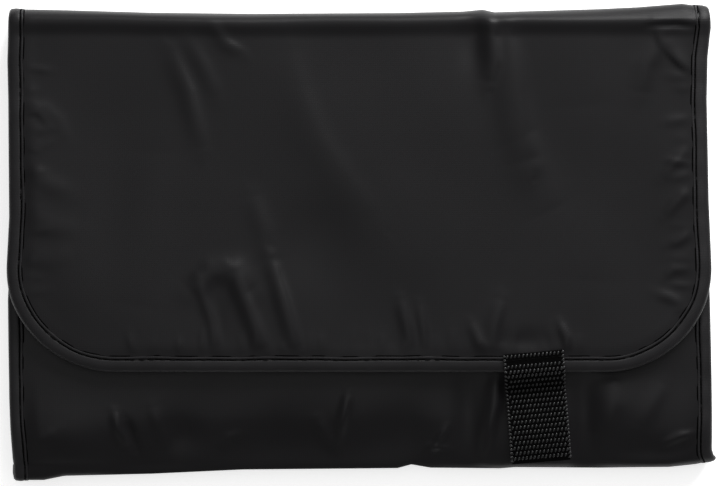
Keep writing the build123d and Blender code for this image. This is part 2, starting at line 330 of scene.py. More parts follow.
# Small gathers that stand off the flap's seam, where the stitching has drawn the cloth up: 110 mm of them
# down the left side, 200 mm along the free edge and 110 mm up the right side
SEAM_X, SEAM_Y, SIDE_TOP, SIDE_LONG, END_LONG = 141.5, -48.5, 80, 110, 200
draw = np.random.default_rng(7)
gathers = []
for run in np.arange(6, 2 * SIDE_LONG + END_LONG, 9.0):
    run = run + draw.uniform(-3, 3)
    length = draw.uniform(5, 13)
    strength = draw.uniform(0.1, 0.34)
    lean = draw.uniform(-2.5, 2.5)
    wide = draw.uniform(1.2, 2.4)
    if run < SIDE_LONG:
        y = SIDE_TOP - run
        line = ((-SEAM_X, y), (-SEAM_X + length, y + lean))
    elif run < SIDE_LONG + END_LONG:
        x = run - SIDE_LONG - END_LONG / 2
        line = ((x, SEAM_Y), (x + lean, SEAM_Y + length))
    else:
        y = run - 2 * SIDE_LONG - END_LONG + SIDE_TOP
        line = ((SEAM_X, y), (SEAM_X - length, y + lean))
    gathers.append((line, wide, wide, strength))

# No wrinkle stands further than this from the cloth's flat place
TALLEST = 3.4


def flap_relief(x, y):
    """How far the flap's cloth stands above or below its flat place."""
    height = np.zeros(x.shape)
    for points, left, right, tall in flap_ridges + tuple(gathers):
        height = height + ridge(x, y, points, left, right, tall)
    for middle, reach_x, reach_y, tall in flap_hollows:
        height = height + hollow(x, y, middle, reach_x, reach_y, tall)
    height = 1.5 * height + 0.5 * np.sin(x / 23 + 1.3) * np.sin(y / 19 + 0.4) + 0.2 * np.sin(x / 11 + y / 14)
    return TALLEST * np.tanh(height / TALLEST)


DROOP_WIDE, END_DROP, SIDE_DROP = 11, 0.95, 1.2


def flap_droop(x, y):
    """The flap's tape hangs down to the sections under it, along its sides and its free edge."""
    corner_x = np.clip(np.abs(x) - (FLAP_HALF - CORNER), 0, None)
    corner_y = np.clip(FLAP_END + CORNER - y, 0, None)
    inside = np.where(
        (corner_x > 0) & (corner_y > 0), CORNER - np.hypot(corner_x, corner_y),
        np.minimum(FLAP_HALF - np.abs(x), y - FLAP_END),
    )
    inside = np.maximum(inside, 0)
    at_edge, near_end = 1 - smooth(inside, 0, DROOP_WIDE), smooth(-y, -10, 45)
    return END_DROP * at_edge * near_end + SIDE_DROP * at_edge * (1 - near_end), smooth(inside, 5.5, 13)


def settled_flap(x, y, z):
    """Lays points of the flap and of the upper half of its fold in their place."""
    drop, inner = flap_droop(x, y)
    on_top = smooth(z, 17, 27) * (1 - smooth(y, 92, 98))
    seam = 0.25 + 0.75 * inner
    # The cloth sinks a little behind the roll, then stands up over it
    top_dip = -0.4 * smooth(y, 40, 86) + 1.6 * smooth(y, 86, 93.5)
    z = z + on_top * (flap_relief(x, y) * seam - drop) + top_dip * smooth(z, 17, 22)
    return *crooked(x, y), z


def roll(y_mid, y_reach, z_mid, z_reach, power=2.0):
    """Points (y, z) round a quarter turn, from standing upright to lying flat."""
    share = 2 / power
    return [
        (y_mid + y_reach * math.cos(turn) ** share, z_mid + z_reach * math.sin(turn) ** share)
        for turn in np.linspace(0, math.pi / 2, 40)
    ]


def length_of(line):
    """The length of a line of (y, z) points."""
    return float(np.hypot(*np.diff(np.asarray(line), axis=0).T).sum())


def along(line, run):
    """The points (y, z) that lie the given lengths along a line."""
    line = np.asarray(line)
    length = np.concatenate(([0], np.cumsum(np.hypot(*np.diff(line, axis=0).T))))
    return np.interp(run, length, line[:, 0]), np.interp(run, length, line[:, 1])


# The flap's outer face from the middle of the top fold, over the roll, to the free edge
FOLD_MIDDLE = 12.0
flap_line = [
    (98.0, FOLD_MIDDLE),
    *roll(98 - TOP_ROLL[0], TOP_ROLL[0], FLAP_TOP - TOP_ROLL[1], TOP_ROLL[1], 2.2),
    (FLAP_END, FLAP_TOP),
]
flap_run = length_of(flap_line) - EDGE_COVER


def flap_half(z):
    """The flap's half-width, which grows a little towards the fold that it shares with the back section."""
    return HALF - (HALF - FLAP_HALF) * smooth(z, 14, 24)


def flap_shape(u, v):
    """The flap's outer cloth. It ends under its tape, so it stops short of the real edge."""
    y, z = along(flap_line, (1 - v) / 2 * flap_run)
    into_corner = np.clip(FLAP_END + CORNER - y, 0, CORNER)
    half = flap_half(z) - CORNER + np.sqrt(CORNER ** 2 - into_corner ** 2) - EDGE_COVER
    return settled_flap(u * half, y, z)


def joined(piece, bodies):
    """Fixes a piece to one body. For a piece that spans two bodies, it only bakes its place into its points.
    """
    if isinstance(bodies, str):
        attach(piece, bodies)
    else:
        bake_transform(piece)


upper_fold = ("top_fold_strip", "flap", (0, 0.098, 0.016), (0, 0.087, 0.0286))
flap_cloth = laid_cloth("flap_cloth", 240, 150, flap_shape, NYLON_THICK, pack_cloth)
joined(flap_cloth, upper_fold)
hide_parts("flap_shell", "flap_padding")

# ---------------------------------------------------------------------------------------------------------
# Flap binding
# A folded nylon tape that wraps the flap's raw edge, from the middle of the top fold down one side, round
# both corners and up the other side. One row of black lockstitch runs near the tape's inner edge.

# Nylon binding tape: a close flat weave with fine ribs across its width, a little duller than the cloth
binding, tree, shader = new_material(
    "woven_nylon_binding_tape", "#121113", Roughness=0.52, Specular_IOR_Level=0.25, Sheen_Weight=0.02,
    Sheen_Roughness=0.4,
)
place = add_node(tree, "ShaderNodeTexCoord")
ribs = add_node(
    tree, "ShaderNodeTexWave",
    {"Vector": place.outputs["UV"], "Scale": math.pi / (10 * 0.7 * MM), "Distortion": 0.5, "Detail": 1.0},
    bands_direction="X",
)
worn = add_node(
    tree, "ShaderNodeTexNoise",
    {"Vector": place.outputs["Object"], "Scale": 60.0, "Detail": 5.0, "Roughness": 0.6},
)
tint = add_node(tree, "ShaderNodeValToRGB", {"Fac": worn.outputs["Fac"]}, shader.inputs["Base Color"])
tint.color_ramp.elements[0].position = 0.3
tint.color_ramp.elements[0].color = linear("#0c0b0d")
tint.color_ramp.elements[1].position = 0.75
tint.color_ramp.elements[1].color = linear("#141315")
surface = add_node(tree, "ShaderNodeMath", {0: ribs.outputs["Fac"], 1: 0.4}, operation="MULTIPLY")
surface = add_node(
    tree, "ShaderNodeMath", {0: surface.outputs["Value"], 1: worn.outputs["Fac"]}, operation="ADD"
)
add_node(
    tree, "ShaderNodeBump", {"Height": surface.outputs["Value"], "Distance": 0.00012, "Strength": 0.5},
    shader.inputs["Normal"],
)

# Bonded polyester sewing thread, black and slightly waxed
thread, tree, shader = new_material(
    "black_bonded_sewing_thread", "#030303", Roughness=0.85, Specular_IOR_Level=0.06
)
place = add_node(tree, "ShaderNodeTexCoord").outputs["Object"]
twist = add_node(tree, "ShaderNodeTexWave", {"Vector": place, "Scale": 900.0}, bands_direction="DIAGONAL")
add_node(
    tree, "ShaderNodeBump", {"Height": twist.outputs["Fac"], "Distance": 0.00003, "Strength": 0.4},
    shader.inputs["Normal"],
)


def tape_section(width, deep):
    """The tape's cross-section as (inwards from the edge, outwards from the cloth's face)."""
    return (
        (width + 0.3, 0.0), (width, 0.02), (width - 0.25, 0.2), (width - 0.7, 0.29), (width - 1.15, 0.25),
        (width - 1.36, 0.08), (width - 1.64, 0.08), (width - 1.85, 0.25), (width - 2.6, 0.38),
        (width * 0.45, 0.44), (1.1, 0.2), (0.3, -0.45), (0.0, -1.4),
        (0.3, 0.5 - deep), (1.1, -0.05 - deep), (width * 0.45, -0.2 - deep), (width - 1.5, -0.1 - deep),
        (width - 0.05, -0.15 - deep), (width, 0.25 - deep),
    )


# Painted shade for the creases of a sewn tape: a near-black, dull colour on the faces under its folded inner
# edge and where the stitches pull it down, where shade falls
painted_crease_shade, tree, shader = new_material(
    "painted_shade_tape_crease", "#020202", Roughness=0.95, Specular_IOR_Level=0.03
)
place = add_node(tree, "ShaderNodeTexCoord").outputs["Object"]
fibres = add_node(tree, "ShaderNodeTexNoise", {"Vector": place, "Scale": 900.0, "Detail": 2.0})
add_node(
    tree, "ShaderNodeBump", {"Height": fibres.outputs["Fac"], "Distance": 0.0001, "Strength": 0.5},
    shader.inputs["Normal"],
)
CREASE_SHADE_FACES = (0, 1, 4, 5, 6)


def laid_tape(name, edge, inward, outward, section, settle, seed):
    """A closed tape swept along an edge. Its inner edge and thickness wander a little, as sewn tape does."""
    edge, inward, outward = (np.asarray(part, float) for part in (edge, inward, outward))
    run = np.concatenate(([0], np.cumsum(np.linalg.norm(np.diff(edge, axis=0), axis=1))))
    draw = np.random.default_rng(seed)
    phases = draw.uniform(0, 6.28, 4)
    slow = np.sin(run / 4.7 + phases[1]) * np.sin(run / 17 + phases[2])
    ripple = 0.1 * np.sin(run / 2.2 + phases[0]) + 0.12 * slow
    wander = 0.16 * np.sin(run / 9.0 + phases[3]) + 0.1 * np.sin(run / 3.7 + phases[1])
    rings, verts = len(section), []
    for inwards, outwards in section:
        share = inwards / section[0][0]
        lift = outwards + (ripple * (0.4 + 0.6 * share) if outwards > -0.3 else 0 * run)
        verts.append(edge + inward * (inwards + wander * share)[:, None] + outward * lift[:, None])
    verts = np.stack(verts, axis=1).reshape(-1, 3)
    x, y, z = settle(*verts.T)
    verts = np.stack((x, y, z), axis=1) * MM
    steps = len(edge)
    across = np.concatenate(([0], np.cumsum(np.hypot(*np.diff(np.asarray(section), axis=0).T))))
    faces, corners = [], []
    for n in range(steps - 1):
        for m in range(rings):
            after = (m + 1) % rings
            faces.append((n * rings + m, n * rings + after, (n + 1) * rings + after, (n + 1) * rings + m))
            far = across[m + 1] if m + 1 < rings else across[-1] + 2
            corners += [(run[n], across[m]), (run[n], far), (run[n + 1], far), (run[n + 1], across[m])]
    faces += [tuple(range(rings))[::-1], tuple(range((steps - 1) * rings, steps * rings))]
    corners += [(0, 0)] * rings * 2
    mesh = bpy.data.meshes.new(name)
    mesh.from_pydata(verts.tolist(), [], faces)
    flat_tape = (np.asarray(corners) * MM).astype(np.float32)
    mesh.uv_layers.new(name="tape").data.foreach_set("uv", flat_tape.ravel())
    piece = bpy.data.objects.new(name, mesh)
    bpy.context.collection.objects.link(piece)
    select_only(piece)
    bpy.ops.object.mode_set(mode="EDIT")
    bpy.ops.mesh.select_all(action="SELECT")
    bpy.ops.mesh.normals_make_consistent(inside=False)
    bpy.ops.object.mode_set(mode="OBJECT")
    bpy.ops.object.shade_smooth_by_angle(angle=math.radians(55))
    mesh.materials.append(binding)
    # The crease faces get the painted shade colour instead of the tape's own colour
    mesh.materials.append(painted_crease_shade)
    for n in range(steps - 1):
        for m in CREASE_SHADE_FACES:
            mesh.polygons[n * rings + m].material_index = 1
    return piece


def bead(rings):
    """The points and faces of a small round bead, with its poles at its two ends."""
    bpy.ops.object.select_all(action="DESELECT")
    bpy.ops.mesh.primitive_uv_sphere_add(segments=8, ring_count=rings, radius=1, rotation=(0, math.pi / 2, 0))
    ball = bpy.context.object
    bpy.ops.object.transform_apply(location=False, rotation=True, scale=False)
    points = np.array([vertex.co[:] for vertex in ball.data.vertices])
    faces = [tuple(face.vertices) for face in ball.data.polygons]
    bpy.data.objects.remove(ball)
    return points, faces


# One stitch as it lies in the tape: plump thread, 3 mm long, with both ends pulled down into holes
stitch_points, stitch_faces = bead(6)
stitch_points = stitch_points * (1.55, 0.27, 0.24)
stitch_points[:, 2] -= 0.1 * (stitch_points[:, 0] / 1.55) ** 2


def placed_copies(name, points, faces, places, cloth):
    """One mesh of many copies of a small shape. Each place is (point, forwards, outwards), in millimetres."""
    verts, copied = [], []
    for n, (spot, forward, outward) in enumerate(places):
        forward = forward / np.linalg.norm(forward)
        outward = outward - forward * (outward @ forward)
        outward = outward / np.linalg.norm(outward)
        verts.append(spot + points @ np.stack((forward, np.cross(outward, forward), outward)))
        copied += [tuple(index + n * len(points) for index in face) for face in faces]
    mesh = bpy.data.meshes.new(name)
    mesh.from_pydata((np.concatenate(verts) * MM).tolist(), [], copied)
    piece = bpy.data.objects.new(name, mesh)
    bpy.context.collection.objects.link(piece)
    select_only(piece)
    bpy.ops.object.shade_smooth()
    mesh.materials.append(cloth)
    return piece


STITCH_PITCH, STITCH_INSET = 4.3, 1.5
FLAP_TAPE, TAPE_DEEP, TAPE_STEP = 6.8, 3.0, 1.2


def sewn_row(name, edge, inward, outward, inset, settle, seed):
    """A row of stitches at the given distance inside an edge."""
    edge, inward, outward = (np.asarray(part, float) for part in (edge, inward, outward))
    line = edge + inward * inset
    run = np.concatenate(([0], np.cumsum(np.linalg.norm(np.diff(line, axis=0), axis=1))))
    draw = np.random.default_rng(seed)
    places = []
    for middle in np.arange(2.5, run[-1] - 2, STITCH_PITCH):
        spots = []
        for step in (-0.6, 0.6):
            where = middle + step
            flat, out = (
                np.array([np.interp(where, run, rows[:, n]) for n in range(3)]) for rows in (line, outward)
            )
            flat = flat + out * 0.2 + np.array([draw.uniform(-0.05, 0.05) for _ in range(3)])
            spots.append(np.concatenate(settle(*flat.reshape(3, 1))))
        places.append(((spots[0] + spots[1]) / 2, spots[1] - spots[0], out))
    return placed_copies(name, stitch_points, stitch_faces, places, thread)


def side_edge(line, half, side):
    """The raw edge at one side of a section, with the directions inwards and outwards from its face."""
    line = np.asarray(line, float)
    run = np.arange(0, length_of(line) + TAPE_STEP / 2, TAPE_STEP)
    y, z = along(line, run)
    ahead = np.gradient(np.stack((y, z), axis=1), axis=0)
    ahead /= np.linalg.norm(ahead, axis=1)[:, None]
    reach = half(z) if callable(half) else np.full(y.shape, half)
    edge = np.stack((side * reach, y, z), axis=1)
    inward = np.tile((-float(side), 0.0, 0.0), (len(y), 1))
    outward = np.stack((0 * y, -ahead[:, 1], ahead[:, 0]), axis=1)
    return edge, inward, outward


# The flap's edge: down the left side, round the corner, along the free edge and back up the right side
mirror = np.array((-1.0, 1.0, 1.0))


def round_the_flap(side, corner, middle):
    """Rows for the left side, left corner and free edge, with the right half as their mirror image."""
    return np.concatenate((side, corner, middle, (corner * mirror)[::-1], (side * mirror)[::-1]))


down = [part for part in flap_line if part[0] > FLAP_END + CORNER] + [(FLAP_END + CORNER, FLAP_TOP)]
side_run, side_in, side_out = side_edge(down, flap_half, -1)
turn = np.radians(np.arange(181, 269, 1.5))
corner_x, corner_y = CORNER - FLAP_HALF + CORNER * np.cos(turn), FLAP_END + CORNER + CORNER * np.sin(turn)
corner_run = np.stack((corner_x, corner_y, 0 * turn + FLAP_TOP), 1)
corner_in = np.stack((-np.cos(turn), -np.sin(turn), 0 * turn), 1)
across = np.arange(CORNER - FLAP_HALF, 0.01 + FLAP_HALF - CORNER, TAPE_STEP)
free_run = np.stack((across, 0 * across + FLAP_END, 0 * across + FLAP_TOP), 1)
free_in, free_up = (np.tile(way, (len(across), 1)) for way in ((0.0, 1.0, 0.0), (0.0, 0.0, 1.0)))
corner_up = np.tile((0.0, 0.0, 1.0), (len(turn), 1))
flap_edge = (
    round_the_flap(side_run, corner_run, free_run), round_the_flap(side_in, corner_in, free_in),
    round_the_flap(-side_out, corner_up, free_up),
)
flap_tape = laid_tape("flap_tape", *flap_edge, tape_section(FLAP_TAPE, TAPE_DEEP), settled_flap, 3)
flap_stitches = sewn_row("flap_stitches", *flap_edge, FLAP_TAPE - STITCH_INSET, settled_flap, 4)
for piece in (flap_tape, flap_stitches):
    joined(piece, upper_fold)
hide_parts("flap_binding")

# ---------------------------------------------------------------------------------------------------------
# Back section, folds and front section
# The same cloth goes on from the flap: down the upper fold, under the back section, up the lower fold and
# over the front section. Each part is its own piece, and each has its own length of side tape.
TAPE = 6.3
FRONT_HALF = 148.0
FRONT_TOP = 19.9
BOTTOM_MIDDLE = 11.0
FRONT_END = -2.0

# Wrinkles of the front section where it shows below the flap, as for the flap
front_ridges = (
    (((-104, -72), (-102, -80), (-98, -88)), 1.6, 2.2, 1.5),
    (((-99, -76), (-96, -84), (-94, -92)), 1.5, 3.0, -1.3),
    (((-88, -70), (-85, -80), (-82, -90)), 3.0, 2.5, 0.8),
    (((-5, -64), (-7, -74), (-10, -88)), 2.2, 2.0, 1.5),
    (((-18, -76), (-14, -84), (-8, -93)), 2.6, 3.0, 0.9),
    (((30, -92), (34, -84), (37, -79)), 1.4, 1.6, 1.1),
    (((26, -94), (30, -88), (38, -89)), 1.2, 1.6, 0.8),
    (((58, -56), (57, -70), (54, -84), (52, -94)), 2.4, 3.2, 2.1),
    (((104, -57), (106, -70), (103, -84)), 4.0, 8.0, 1.1),
    (((-60, -90), (-56, -84), (-50, -82)), 2.0, 3.0, 0.6),
    (((126, -88), (134, -84), (143, -83)), 1.6, 2.4, 0.9),
    (((-140, -88), (-134, -84), (-128, -80)), 2.5, 3.5, 0.5),
    (((128, -60), (122, -72), (118, -80)), 3.0, 4.0, 0.5),
)
front_hollows = (
    ((-76, -84), 8, 7, -1.8),
    ((-40, -93), 40, 17, -3.0),
    ((12, -94), 26, 15, -1.9),
    ((46, -76), 6, 15, -2.0),
    ((95, -76), 6, 17, -2.1),
    ((18, -82), 14, 10, -0.9),
    ((124, -90), 20, 5, -1.1),
    ((-124, -82), 17, 13, 1.9),
    ((114, -72), 13, 12, 1.2),
)


def front_relief(x, y):
    """How far the front section's cloth stands above or below its flat place."""
    height = 0.35 * np.sin(x / 17 + 2.0) * np.sin(y / 13) + 0.22 * np.sin(x / 7.5 - y / 10)
    for points, left_width, right_width, tall in front_ridges:
        height = height + ridge(x, y, points, left_width, right_width, tall)
    for middle, reach_x, reach_y, tall in front_hollows:
        height = height + hollow(x, y, middle, reach_x, reach_y, tall)
    # Along most of the lower edge the cloth is pulled well down before it turns under
    pulled = smooth(x, -128, -96) * (1 - smooth(x, 50, 64))
    pulled = pulled + 0.7 * smooth(x, 84, 92) * (1 - smooth(x, 96, 110))
    return 1.25 * height - 2.3 * pulled * smooth(-y, 74, 96)


FRONT_ROLL = (38.0, 2.3)
front_line = [
    (-98.0, BOTTOM_MIDDLE),
    *roll(FRONT_ROLL[0] - 98, -FRONT_ROLL[0], BOTTOM_MIDDLE, FRONT_TOP - BOTTOM_MIDDLE, FRONT_ROLL[1]),
    (FRONT_END, FRONT_TOP),
]


def front_drop(y):
    """How far the front section's rounded lower edge lies below its flat top."""
    reach, power = np.clip((FRONT_ROLL[0] - 98 - y) / FRONT_ROLL[0], 0, 1), FRONT_ROLL[1]
    return (FRONT_TOP - BOTTOM_MIDDLE) * (1 - (1 - reach ** power) ** (1 / power))


def settled_front(x, y, z):
    """Lays points of the front section and of the upper half of its fold in their place."""
    inside = np.maximum(FRONT_HALF - np.abs(x), 0)
    on_top = smooth(z, 11, 16) * smooth(-y, 44, 62)
    drop = 0.8 * (1 - smooth(inside, 0, 12)) * on_top
    relief = front_relief(x, y) * (0.2 + 0.8 * smooth(inside, 5, 13))
    # A dip never goes below the seam at the middle of the fold, so the cloth always falls towards it
    room = 0.7 * np.maximum(z - BOTTOM_MIDDLE, 0.01)
    sunk = room * np.tanh(np.maximum(-relief, 0) / room) * smooth(-y, 44, 62)
    z = z + on_top * np.maximum(relief, 0) - sunk - drop
    return *crooked(x, y), z


def settled_fold(x, y, z):
    """Lays points of the back section and of the lower halves of the folds in their place."""
    return *crooked(x, y), z


def front_half(z):
    return HALF - (HALF - FRONT_HALF) * smooth(z, 9, 17)


UNDERSIDE = 85.0
top_fold_line = [(UNDERSIDE, 0.0), *[(y, 4 - z) for y, z in roll(90, 8, 0, 4)][::-1], (98.0, FOLD_MIDDLE)]
bottom_fold_line = [(-98.0, BOTTOM_MIDDLE), *[(y, 4 - z) for y, z in roll(-90, -8, 0, 4)], (-UNDERSIDE, 0.0)]
back_line = [(-UNDERSIDE, 0.0), (UNDERSIDE, 0.0)]


def strip_shape(line, half, settle, end_short):
    """A shape for laid_cloth that follows a line between the side tapes."""
    total = length_of(line) - end_short

    def shape(u, v):
        y, z = along(line, (1 + v) / 2 * total)
        reach = half(z) if callable(half) else half
        return settle(u * (reach - EDGE_COVER), y, z)

    return shape


def facing(piece, wanted):
    """Turns a cloth's faces the given way before it gets its wall."""
    if piece.data.polygons[len(piece.data.polygons) // 2].normal.dot(Vector(wanted)) < 0:
        piece.data.flip_normals()


top_fold = ("back", "top_fold_strip", (0, 0.093, 0.0005), (0, 0.095, 0.0055))
bottom_fold = ("back", "bottom_fold_strip", (0, -0.093, 0.0005), (0, -0.095, 0.0055))
front_fold = ("bottom_fold_strip", "front", (0, -0.098, 0.0125), (0, -0.090, 0.0175))
# Each section's cloth: its line, half-width and grid, the way its outer face looks, and its bodies and nodes
sections = (
    ("top_fold_cloth", top_fold_line, HALF, settled_fold, 0, (200, 16), (0, 1, -0.3), top_fold,
     ("top_fold_shell", "top_fold_padding")),
    ("bottom_fold_cloth", bottom_fold_line, HALF, settled_fold, 0, (200, 12), (0, -1, -0.3), bottom_fold,
     ("bottom_fold_shell", "bottom_fold_padding")),
    ("back_cloth", back_line, HALF, settled_fold, 0, (120, 72), (0, 0, -1), "back",
     ("back_shell", "back_padding")),
    ("front_cloth", front_line, front_half, settled_front, EDGE_COVER, (240, 110), (0, -1, 0.6), front_fold,
     ("front_shell", "front_padding")),
)
for name, line, half, settle, short, (columns, rows), outwards, bodies, nodes in sections:
    piece = laid_cloth(name, columns, rows, strip_shape(line, half, settle, short), 0, pack_cloth)
    facing(piece, outwards)
    give_wall(piece, NYLON_THICK)
    joined(piece, bodies)
    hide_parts(*nodes)

side_tapes = (
    ("top_fold_tape", top_fold_line, HALF, settled_fold, top_fold, "top_fold_binding", -1),
    ("bottom_fold_tape", bottom_fold_line, HALF, settled_fold, bottom_fold, "bottom_fold_binding", -1),
    ("back_tape", back_line, HALF, settled_fold, "back", "back_binding", -1),
    ("front_tape", front_line, front_half, settled_front, front_fold, "front_binding", 1),
)
tapes_of = {}
for count, (name, line, half, settle, bodies, node, face) in enumerate(side_tapes):
    for side, word in ((-1, "left"), (1, "right")):
        edge, inward, outward = side_edge(line, half, side)
        outward = outward * face
        tape = laid_tape(
            f"{name}_{word}", edge, inward, outward, tape_section(TAPE, TAPE_DEEP), settle, 20 + count
        )
        row = sewn_row(
            f"{name}_{word}_stitches", edge, inward, outward, TAPE - STITCH_INSET, settle, 40 + count
        )
        for piece in (tape, row):
            joined(piece, bodies)
        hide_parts(f"{node}_{word}")
        tapes_of.setdefault(name, []).extend((tape, row))

across = np.arange(-FRONT_HALF + TAPE, FRONT_HALF - TAPE + 0.1, TAPE_STEP)
end_edge = (
    np.stack((across, 0 * across + FRONT_END, 0 * across + FRONT_TOP), 1),
    np.tile((0.0, -1.0, 0.0), (len(across), 1)), np.tile((0.0, 0.0, 1.0), (len(across), 1)),
)
front_end_tape = laid_tape("front_end_tape", *end_edge, tape_section(TAPE, TAPE_DEEP), settled_front, 31)
front_end_stitches = sewn_row("front_end_stitches", *end_edge, TAPE - STITCH_INSET, settled_front, 32)
for piece in (front_end_tape, front_end_stitches):
    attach(piece, "front")
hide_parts("front_end_binding")

# ---------------------------------------------------------------------------------------------------------
# Closure tab
# A length of 25 mm black nylon webbing, sewn to the flap's free edge by a row of stitches near its cut end.
# It hangs over the front section, where a hook patch under it meets a loop patch.
TAB_WIDE = 25.4
TAB_AT = (73.9, -55.7)
TAB_LEAN = math.radians(4.9)
TAB_UP, TAB_DOWN = 8.5, -38.6
TAB_THICK = 1.4

# Nylon webbing yarn: black, smooth and shiny, in bundles of fine filaments
webbing_yarn, tree, shader = new_material(
    "shiny_black_nylon_webbing_yarn", "#060607", Roughness=0.34, Specular_IOR_Level=0.45
)
place = add_node(tree, "ShaderNodeTexCoord").outputs["Object"]
fibres = add_node(tree, "ShaderNodeTexNoise", {"Vector": place, "Scale": 2500.0, "Detail": 2.0})
patches = add_node(tree, "ShaderNodeTexNoise", {"Vector": place, "Scale": 500.0, "Detail": 1.0})
add_node(
    tree, "ShaderNodeMapRange",
    {"Value": patches.outputs["Fac"], "From Min": 0.35, "From Max": 0.65, "To Min": 0.28, "To Max": 0.5},
    shader.inputs["Roughness"],
)
add_node(
    tree, "ShaderNodeBump", {"Height": fibres.outputs["Fac"], "Distance": 0.00006, "Strength": 0.5},
    shader.inputs["Normal"],
)

# Painted shade: the same yarn deep between the crossings, coloured near black and dull for the shade there,
# where no light gets to
webbing_shade_ground, tree, shader = new_material(
    "webbing_painted_shade_between_yarns", "#020202", Roughness=0.9, Specular_IOR_Level=0.05
)
place = add_node(tree, "ShaderNodeTexCoord").outputs["Object"]
fibres = add_node(tree, "ShaderNodeTexNoise", {"Vector": place, "Scale": 1500.0, "Detail": 2.0})
add_node(
    tree, "ShaderNodeBump", {"Height": fibres.outputs["Fac"], "Distance": 0.0001, "Strength": 0.6},
    shader.inputs["Normal"],
)

# One float of yarn: a plump teardrop that dips under its neighbours at both ends
float_points, float_faces = bead(6)
float_points[:, 1] *= 1 + 0.3 * float_points[:, 0]


FLOATS_ACROSS, FLOAT_PITCH = 14, 2.2


def webbing(name, wide, low, high, lay, skip=()):
    """Woven webbing: a ground painted near black for the shade between the yarns, with rows of slanted floats
    on its face and loops down both edges.
    """

    def ground(u, v):
        return lay(u * (wide / 2 - 0.35), low + (1 + v) / 2 * (high - low), 0 * u - 0.35)

    # The ground sheet carries the painted shade that shows between the floats
    piece = laid_cloth(name, 24, max(8, round(high - low)), ground, TAB_THICK - 0.6, webbing_shade_ground)
    level, places = -0.3, []

    def float_at(start, ahead, beside):
        """One float, from its middle, a point ahead of it and a point beside it on the webbing's face."""
        start, ahead, beside = (np.array(lay(*point), float) for point in (start, ahead, beside))
        return start, ahead - start, beside - start

    draw = np.random.default_rng(11)
    for number, up in enumerate(np.arange(high - 1.1, low + 0.6, -FLOAT_PITCH)):
        if any(start < up < stop for start, stop in skip):
            continue
        row = (np.arange(FLOATS_ACROSS) + 0.3 + 0.5 * (number % 2)) / FLOATS_ACROSS - 0.5
        for across in row * (wide - 2.2):
            shift, lean = draw.uniform(-0.06, 0.06), draw.uniform(-0.1, 0.1)
            here, ahead, beside = float_at(
                (across + shift, up, level), (across + shift + 0.5 + lean * 0.3, up + 1.0, level),
                (across + shift + 1.0, up, level),
            )
            places.append((here, ahead, np.cross(beside, ahead)))
    for edge in (-1, 1):
        rim = edge * (wide / 2 - 0.5)
        for up in np.arange(high - 0.8, low + 0.5, -FLOAT_PITCH * 0.75):
            here, ahead, beside = float_at(
                (edge * (wide / 2 - 0.45), up, level - 0.22), (rim + edge * 0.9, up + 0.6, level - 0.35),
                (rim + 1.0, up, level),
            )
            straight = np.array(lay(rim, up + 1.0, level)) - here
            places.append((here, ahead, np.cross(beside, straight)))
    floats = placed_copies(
        name + "_floats", float_points * (0.86, 0.52, 0.36), float_faces, places, webbing_yarn
    )
    return piece, floats


def tab_plan(across, up):
    """From the tab's own directions to the bag's."""
    x = TAB_AT[0] + across * math.cos(TAB_LEAN) - up * math.sin(TAB_LEAN)
    y = TAB_AT[1] + across * math.sin(TAB_LEAN) + up * math.cos(TAB_LEAN)
    return x, y


def tab_level(across, up):
    """The height of the tab's outer face: on the flap's tape, over its edge, then on the front section."""
    x, y = (np.atleast_1d(np.asarray(part, float)) for part in tab_plan(across, np.maximum(up, 0.6)))
    on_flap = settled_flap(x, y, np.full(x.shape, FLAP_TOP))[2] + 0.6 + TAB_THICK
    _, low_y = tab_plan(across, up)
    low_y = np.atleast_1d(np.asarray(low_y, float))
    on_front = FRONT_TOP + 3.0 - 0.85 * front_drop(low_y) + 0.25 * np.sin(low_y / 6.5)
    return on_flap + (on_front - on_flap) * smooth(-np.atleast_1d(np.asarray(up, float)), -0.8, 8.5)


def on_tab(across, up, height):
    level = tab_level(across, up)
    x, y = tab_plan(across, up)
    z = level + height
    return (x, y, z) if np.ndim(across) else (float(x), float(y), float(z[0]))


tab_up, tab_up_floats = webbing("closure_tab_anchor", TAB_WIDE, 0.1, TAB_UP, on_tab, skip=((5.0, 6.6),))
tab_stitch_places = []
for across in np.arange(-11.2, 11.3, 2.8):
    here = np.array(on_tab(across - 0.3, 5.8, -0.5))
    ahead = np.array(on_tab(across + 0.9, 5.9, -0.5))
    tab_stitch_places.append((here, ahead - here, np.array((0.0, 0.0, 1.0))))
tab_stitches = placed_copies(
    "closure_tab_stitches", stitch_points * (0.75, 1.3, 1.3), stitch_faces, tab_stitch_places, thread
)
for piece in (tab_up, tab_up_floats, tab_stitches):
    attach(piece, "flap")
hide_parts("tab_anchor")

tab_strap, tab_strap_floats = webbing("closure_tab_strap", TAB_WIDE, TAB_DOWN, 0.0, on_tab)
for piece in (tab_strap, tab_strap_floats):
    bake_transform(piece)
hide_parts("tab_strap")

# Hook and loop patches: a stiff woven ground with rows of small nylon hooks, and one with a soft looped pile
patch_ground, tree, shader = new_material("black_hook_and_loop_ground", "#0a0a0b", Roughness=0.75)
place = add_node(tree, "ShaderNodeTexCoord").outputs["Object"]
pile = add_node(tree, "ShaderNodeTexVoronoi", {"Vector": place, "Scale": 1400.0})
fuzz = add_node(tree, "ShaderNodeTexNoise", {"Vector": place, "Scale": 900.0, "Detail": 6.0})
height = add_node(
    tree, "ShaderNodeMath", {0: pile.outputs["Distance"], 1: fuzz.outputs["Fac"]}, operation="ADD"
)
add_node(
    tree, "ShaderNodeBump", {"Height": height.outputs["Value"], "Distance": 0.0004, "Strength": 0.9},
    shader.inputs["Normal"],
)
PATCH_WIDE, PATCH_START, PATCH_END = 22.0, -11.0, -36.0


